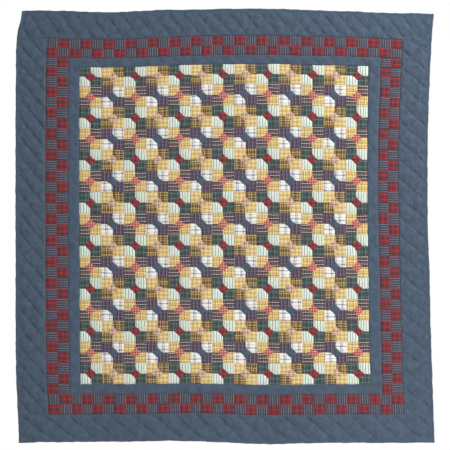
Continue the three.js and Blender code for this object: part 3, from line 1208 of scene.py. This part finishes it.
class QUILT_OT_stitches(Maker):
    """Quilt the outer border and sew the sleeves on by hand"""
    bl_idname = "quilt.stitches"
    bl_label = "Stitches"

    STITCH = 3.8 * MM
    PITCH = 6.6 * MM
    THREAD = 0.45 * MM

    def make(self, context):
        self.stitch = self.stitch_mesh()
        self.sew("quilting_stitches", list(self.border_spots(context)), hang_top, -1)
        self.sew("sleeve_stitches", list(self.sleeve_spots()), hang_back, 1)

    def stitch_mesh(self):
        bm = bmesh.new()
        bmesh.ops.create_icosphere(bm, subdivisions=1, radius=1.0)
        shape = Matrix.Diagonal((self.STITCH / 2, self.THREAD, self.THREAD, 1))
        bmesh.ops.transform(bm, matrix=shape, verts=bm.verts)
        map_cloth(bm, 1, 1)
        return mesh_from("stitch", bm)

    def border_spots(self, context):
        """Flat places and slopes of the stitches along the slanting lines."""
        spacing = context.scene.quilt_relief.spacing
        for slope, way in ((STEEP, -1), (GENTLE, -1), (GENTLE, 1)):
            slant = math.atan(slope)
            tall = slope * (EDGE[1] - EDGE[0]) + EDGE[3] - EDGE[2]
            u = np.arange(EDGE[0], EDGE[1], self.PITCH * math.cos(slant))
            for number in range(-cells(tall, spacing), cells(tall, spacing)):
                v = way * (slope * u - number * spacing)
                v = v - line_bend(u, v) * (way < 0)
                kept = -outside(u, v, EDGE) > BOUND_WIDTH + 4 * MM
                kept = kept & (outside(u, v, CHECKER) > 5 * MM) & (slant_of_lines(u, v) == slope)
                if way > 0:
                    kept = kept & (u > CROSS_SEWN)
                for place in zip(u[kept], v[kept]):
                    yield (*place, way * slant)

    def sleeve_spots(self):
        """Whip stitches along the two sewn edges of each sleeve."""
        for side in ("left", "right"):
            low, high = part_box(f"sleeve_{side}")
            for z in (high.z + 0.5 * MM, low.z - 0.5 * MM):
                for number in range(cells(high.x - low.x, self.PITCH)):
                    yield low.x + (number + 0.5) * self.PITCH, z, math.pi / 3

    def sew(self, name, spots, hang, towards):
        """Sets a stitch at each spot, a little proud of the cloth."""
        u, v, slope = np.array(spots).T
        places = np.stack(hang(u, v), axis=1) + (0, towards * 0.1 * MM, 0)
        bm = bmesh.new()
        for _ in spots:
            bm.from_mesh(self.stitch)
        made = object_from(name, bm, ["thread"])
        shape = numbers(made.data.vertices, "co", 3).reshape(len(spots), -1, 3)
        slope = slope[:, None]
        along, out = shape[:, :, 0], shape[:, :, 2]
        laid = np.stack((along * np.cos(slope) - out * np.sin(slope), shape[:, :, 1],
                         along * np.sin(slope) + out * np.cos(slope)), axis=2)
        move(made, laid + places[:, None])
        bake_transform(made)


# ---------------------------------------------------------------- rod and rack

TURNING_STEPS = 64
ROD_GAP = 0.3 * MM


def ease_edges(bm, edges, offset, segments=2):
    """Rounds some edges."""
    bmesh.ops.bevel(bm, geom=edges, offset=offset, offset_type="OFFSET", segments=segments,
                    profile=0.5, affect="EDGES", material=-1)


def turned(name, profile):
    """A piece turned about the X axis through the rod, from (along, radius) points."""
    bm = bmesh.new()
    points = [bm.verts.new((along, 0, radius)) for along, radius in profile]
    for first, second in zip(points, points[1:]):
        bm.edges.new((first, second))
    bmesh.ops.spin(bm, geom=bm.verts[:] + bm.edges[:], cent=(0, 0, 0), axis=(1, 0, 0),
                   angle=2 * math.pi, steps=TURNING_STEPS, use_merge=True)
    bmesh.ops.remove_doubles(bm, verts=bm.verts, dist=0.01 * MM)
    bmesh.ops.recalc_face_normals(bm, faces=bm.faces)
    bmesh.ops.transform(bm, matrix=Matrix.Translation((0, ROD_AXIS.y, ROD_AXIS.z)), verts=bm.verts)
    return object_from(name, bm, ["pine"], 40)


class QUILT_OT_rod(Maker):
    """Turn the hanging rod"""
    bl_idname = "quilt.rod"
    bl_label = "Hanging rod"

    def make(self, context):
        ease = 1.2 * MM
        half = (ROD_HIGH.x - ROD_LOW.x) / 2
        profile = [(-half, 0), (-half, ROD_RADIUS - ease), (-half + ease, ROD_RADIUS)]
        steps = 40
        for number in range(1, steps):
            profile.append((-half + ease + 2 * (half - ease) * number / steps, ROD_RADIUS))
        profile += [(half - ease, ROD_RADIUS), (half, ROD_RADIUS - ease), (half, 0)]
        stand_in(turned("turned_hanging_rod", profile), "rod", "hanging_rod")


class QUILT_OT_caps(Maker):
    """Turn the caps on the rod's ends"""
    bl_idname = "quilt.caps"
    bl_label = "Rod end caps"

    def make(self, context):
        for side, sign in (("left", -1), ("right", 1)):
            low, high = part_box(f"rod_cap_{side}")
            outer = (high.z - low.z) / 2
            inner = ROD_RADIUS + ROD_GAP
            mouth, end = (low.x, high.x)[::sign]
            floor = end - sign * 4 * MM
            profile = [
                (floor, 0), (floor, inner), (mouth, inner), (mouth, outer - 1 * MM),
                (mouth + sign * 1 * MM, outer), (mouth + sign * 7 * MM, outer),
                (mouth + sign * 8 * MM, outer - 0.8 * MM), (mouth + sign * 9 * MM, outer),
                (end - sign * 4 * MM, outer), (end - sign * 1.6 * MM, outer - 0.9 * MM),
                (end - sign * 0.4 * MM, outer - 3 * MM), (end, outer - 8 * MM), (end, 0),
            ]
            stand_in(turned(f"turned_rod_cap_{side}", profile), "rod", f"rod_cap_{side}")


class QUILT_OT_rail(Maker):
    """Plane the rail"""
    bl_idname = "quilt.rail"
    bl_label = "Back rail"

    def make(self, context):
        low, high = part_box("back_rail")
        bm = bmesh.new()
        bmesh.ops.create_cube(bm, size=1)
        middle = (low + high) / 2
        place = Matrix.Translation(middle) @ Matrix.Diagonal((*(high - low), 1))
        bmesh.ops.transform(bm, matrix=place, verts=bm.verts)
        front = [edge for edge in bm.edges if all(vert.co.y < middle.y for vert in edge.verts)]
        ease_edges(bm, front, 2.5 * MM, 4)
        wall = high.y - 0.01 * MM
        ease_edges(bm, [edge for edge in bm.edges if all(vert.co.y > wall for vert in edge.verts)],
                   0.5 * MM)
        stand_in(object_from("planed_back_rail", bm, ["pine"], 40), "rack", "back_rail")


def bent_strip(bm, path, low_x, high_x, steel):
    """A flat strip bent along a path in Y and Z, with rounded edges, added to a bmesh."""
    strip = bmesh.new()
    points = [strip.verts.new((low_x, y, z)) for y, z in path]
    edges = [strip.edges.new(pair) for pair in zip(points, points[1:])]
    swept = bmesh.ops.extrude_edge_only(strip, edges=edges)
    moved = [item for item in swept["geom"] if isinstance(item, bmesh.types.BMVert)]
    bmesh.ops.translate(strip, vec=(high_x - low_x, 0, 0), verts=moved)
    bmesh.ops.recalc_face_normals(strip, faces=strip.faces)
    bmesh.ops.solidify(strip, geom=strip.faces[:], thickness=steel)
    bmesh.ops.recalc_face_normals(strip, faces=strip.faces)
    corners = [edge for edge in strip.edges if edge.calc_face_angle(0) > math.radians(60)]
    ease_edges(strip, corners, 0.5 * MM)
    mesh = mesh_from("strip", strip)
    bm.from_mesh(mesh)
    bpy.data.meshes.remove(mesh)


class QUILT_OT_brackets(Maker):
    """Bend the cradle brackets"""
    bl_idname = "quilt.brackets"
    bl_label = "Cradle brackets"

    STEEL = 2.5 * MM
    LIP = 6 * MM

    def make(self, context):
        for place in ("left", "centre", "right"):
            self.bracket(f"bracket_{place}")

    def bracket(self, node):
        low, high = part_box(node)
        half = self.STEEL / 2
        plate = high.y - half
        bend = 4 * MM
        arm = ROD_AXIS.z - ROD_RADIUS - ROD_GAP - half
        path = [(plate, low.z), (plate, arm - bend)]
        for step in range(1, 6):
            turn = math.pi / 2 * step / 6
            path.append((plate - bend * (1 - math.cos(turn)), arm - bend * (1 - math.sin(turn))))
        path += [(plate - bend, arm), (ROD_AXIS.y, arm)]
        saddle = ROD_RADIUS + ROD_GAP + half
        cup = [(ROD_AXIS.y - saddle, ROD_AXIS.z + self.LIP)]
        for step in range(33):
            turn = math.pi + math.pi * step / 32
            cup.append((ROD_AXIS.y + saddle * math.cos(turn), ROD_AXIS.z + saddle * math.sin(turn)))
        cup.append((ROD_AXIS.y + saddle, ROD_AXIS.z + self.LIP))
        bm = bmesh.new()
        bent_strip(bm, path, low.x, high.x, self.STEEL)
        bent_strip(bm, cup, low.x, high.x, self.STEEL)
        stand_in(object_from(f"bent_{node}", bm, ["steel"], 35), "rack", node)


class QUILT_OT_screws(Maker):
    """Drive the screws of the brackets"""
    bl_idname = "quilt.screws"
    bl_label = "Bracket screws"

    SEGMENTS = 24
    THREAD_TURNS = 8
    SHANK = 2.0 * MM
    HEAD_DEEP = 2.6 * MM
    # Rings of the socket: how far behind the face, radius and number of sides
    SOCKET = ((1.5 * MM, 1.2 * MM, 6), (0.02 * MM, 1.25 * MM, 6))
    # Rings of the domed head: how far behind the face and inside the rim
    DOME = ((0, 1.6 * MM), (0.35 * MM, 0.7 * MM), (0.9 * MM, 0.15 * MM), (1.5 * MM, 0))

    def make(self, context):
        for number in range(1, 7):
            self.screw(f"bracket_screw_{number}")

    def ring(self, bm, y, radius, sides=0):
        """A ring of vertices about the Y axis, round or along a polygon."""
        made = bmesh.ops.create_circle(bm, segments=self.SEGMENTS, radius=1.0)["verts"]
        for number, vert in enumerate(made):
            angle = 2 * math.pi * number / self.SEGMENTS
            reach = radius
            if sides:
                part = math.pi / sides
                reach = radius / math.cos((angle + part) % (2 * part) - part)
            vert.co = (reach * math.cos(angle), y, reach * math.sin(angle))
        return made

    def screw(self, node):
        low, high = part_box(node)
        head = (high.x - low.x) / 2
        shank = self.SHANK
        under = low.y + self.HEAD_DEEP
        bm = bmesh.new()
        rings = [self.ring(bm, low.y + deep, radius, sides) for deep, radius, sides in self.SOCKET]
        rings += [self.ring(bm, low.y + deep, head - inside) for deep, inside in self.DOME]
        rings += [self.ring(bm, under, head), self.ring(bm, under, shank)]
        pitch = (high.y - under - 3 * MM) / self.THREAD_TURNS
        for turn in range(self.THREAD_TURNS):
            start = under + 1 * MM + turn * pitch
            rings.append(self.ring(bm, start, shank - 0.45 * MM))
            rings.append(self.ring(bm, start + pitch / 2, shank))
        rings.append(self.ring(bm, high.y - 0.2 * MM, 0.3 * MM))
        for pair in zip(rings, rings[1:]):
            edges = [edge for ring in pair for edge in bm.edges if all(v in ring for v in edge.verts)]
            bmesh.ops.bridge_loops(bm, edges=edges)
        bm.faces.new(rings[0])
        bm.faces.new(rings[-1])
        bmesh.ops.recalc_face_normals(bm, faces=bm.faces)
        place = Matrix.Translation(((low.x + high.x) / 2, 0, (low.z + high.z) / 2))
        bmesh.ops.transform(bm, matrix=place, verts=bm.verts)
        stand_in(object_from(f"driven_{node}", bm, ["zinc"], 30), "rack", node)


# ---------------------------------------------------------------- stage

class QUILT_OT_stage(Maker):
    """Set the floor, the light and the camera"""
    bl_idname = "quilt.stage"
    bl_label = "Stage"

    DISTANCE = 9.0
    ASIDE = 0.011
    ABOVE = 0.0075
    ROOM_LIGHT = 0.36
    FLOOR_GAP = 0.5
    FLOOR_SIZE = 5.8
    WIDTH_SEEN = 2.54

    def make(self, context):
        scene = context.scene
        self.floor()
        self.camera(scene)
        self.lights()
        scene.world = self.room()
        scene.view_settings.view_transform = "Standard"

    def room(self):
        """White where the camera sees it, and dimmer as a light."""
        world = bpy.data.worlds.new("pale room")
        nodes = Nodes(world)
        seen = nodes.node("ShaderNodeLightPath", {}, {}).outputs["Is Camera Ray"]
        strength = nodes.node("ShaderNodeMapRange", {}, {"Value": seen, "To Min": self.ROOM_LIGHT})
        background = nodes.node("ShaderNodeBackground", {}, {
            "Color": (1.0, 1.0, 1.0, 1.0), "Strength": strength.outputs[0]})
        nodes.node("ShaderNodeOutputWorld", {}, {"Surface": background.outputs[0]})
        return world

    def floor(self):
        bm = bmesh.new()
        bmesh.ops.create_grid(bm, x_segments=1, y_segments=1, size=self.FLOOR_SIZE / 2)
        floor = added("floor", mesh_from("floor", bm))
        floor.location.z = EDGE[2] - self.FLOOR_GAP
        pale = bpy.data.materials.new("pale floor")
        nodes = Nodes(pale)
        shader = nodes.node("ShaderNodeBsdfPrincipled", {}, {
            "Base Color": (0.92, 0.92, 0.92, 1), "Roughness": 0.9})
        nodes.node("ShaderNodeOutputMaterial", {}, {"Surface": shader.outputs[0]})
        floor.data.materials.append(pale)

    def camera(self, scene):
        data = bpy.data.cameras.new("camera")
        data.sensor_width = 36.0
        data.lens = data.sensor_width * self.DISTANCE / self.WIDTH_SEEN
        data.clip_end = 60
        camera = added("camera", data)
        camera.location = (MIDDLE_X + self.ASIDE, FRONT - self.DISTANCE, MIDDLE_Z + self.ABOVE)
        camera.rotation_euler = (math.radians(90), 0, 0)
        scene.camera = camera

    def lights(self):
        self.lamp("key", (4.4, -2.6, MIDDLE_Z + 3.4), 1.2, 265)
        self.lamp("fill", (-3.5, -6.0, MIDDLE_Z + 1.0), 3.5, 58)
        self.lamp("rear", (3.8, 2.0, MIDDLE_Z + 3.2), 1.4, 270)

    def lamp(self, name, place, size, power):
        data = bpy.data.lights.new(name, "AREA")
        data.shape = "DISK"
        data.size = size
        data.energy = power
        lamp = added(name, data)
        lamp.location = place
        aim = Vector((MIDDLE_X, 0, MIDDLE_Z)) - lamp.location
        lamp.rotation_euler = aim.to_track_quat("-Z", "Y").to_euler()


# ---------------------------------------------------------------- the add-on

OPERATORS = (
    QUILT_OT_stage,
    QUILT_OT_block_rows,
    QUILT_OT_inner_border,
    QUILT_OT_checker_border,
    QUILT_OT_outer_border,
    QUILT_OT_batting,
    QUILT_OT_backing,
    QUILT_OT_binding,
    QUILT_OT_sleeves,
    QUILT_OT_stitches,
    QUILT_OT_rod,
    QUILT_OT_caps,
    QUILT_OT_rail,
    QUILT_OT_brackets,
    QUILT_OT_screws,
)


class QUILT_PT_pieces(bpy.types.Panel):
    """Buttons for the pieces, and the sizes and colours they use"""
    bl_idname = "QUILT_PT_pieces"
    bl_label = "Hung quilt"
    bl_space_type = "VIEW_3D"
    bl_region_type = "UI"
    bl_category = "Quilt"

    def draw(self, context):
        layout = self.layout
        for operator in OPERATORS:
            layout.operator(operator.bl_idname)
        for attribute, group in GROUPS.items():
            box = layout.box()
            settings = getattr(context.scene, attribute)
            for name in group.__annotations__:
                box.prop(settings, name)


def register():
    for group in GROUPS.values():
        bpy.utils.register_class(group)
    for attribute, group in GROUPS.items():
        setattr(bpy.types.Scene, attribute, bpy.props.PointerProperty(type=group))
    for operator in OPERATORS:
        bpy.utils.register_class(operator)
    bpy.utils.register_class(QUILT_PT_pieces)


def unregister():
    bpy.utils.unregister_class(QUILT_PT_pieces)
    for operator in reversed(OPERATORS):
        bpy.utils.unregister_class(operator)
    for attribute in GROUPS:
        delattr(bpy.types.Scene, attribute)
    for group in reversed(GROUPS.values()):
        bpy.utils.unregister_class(group)


def main():
    register()
    for operator in OPERATORS:
        group, name = operator.bl_idname.split(".")
        getattr(getattr(bpy.ops, group), name)()


if __name__ == "__main__":
    main()
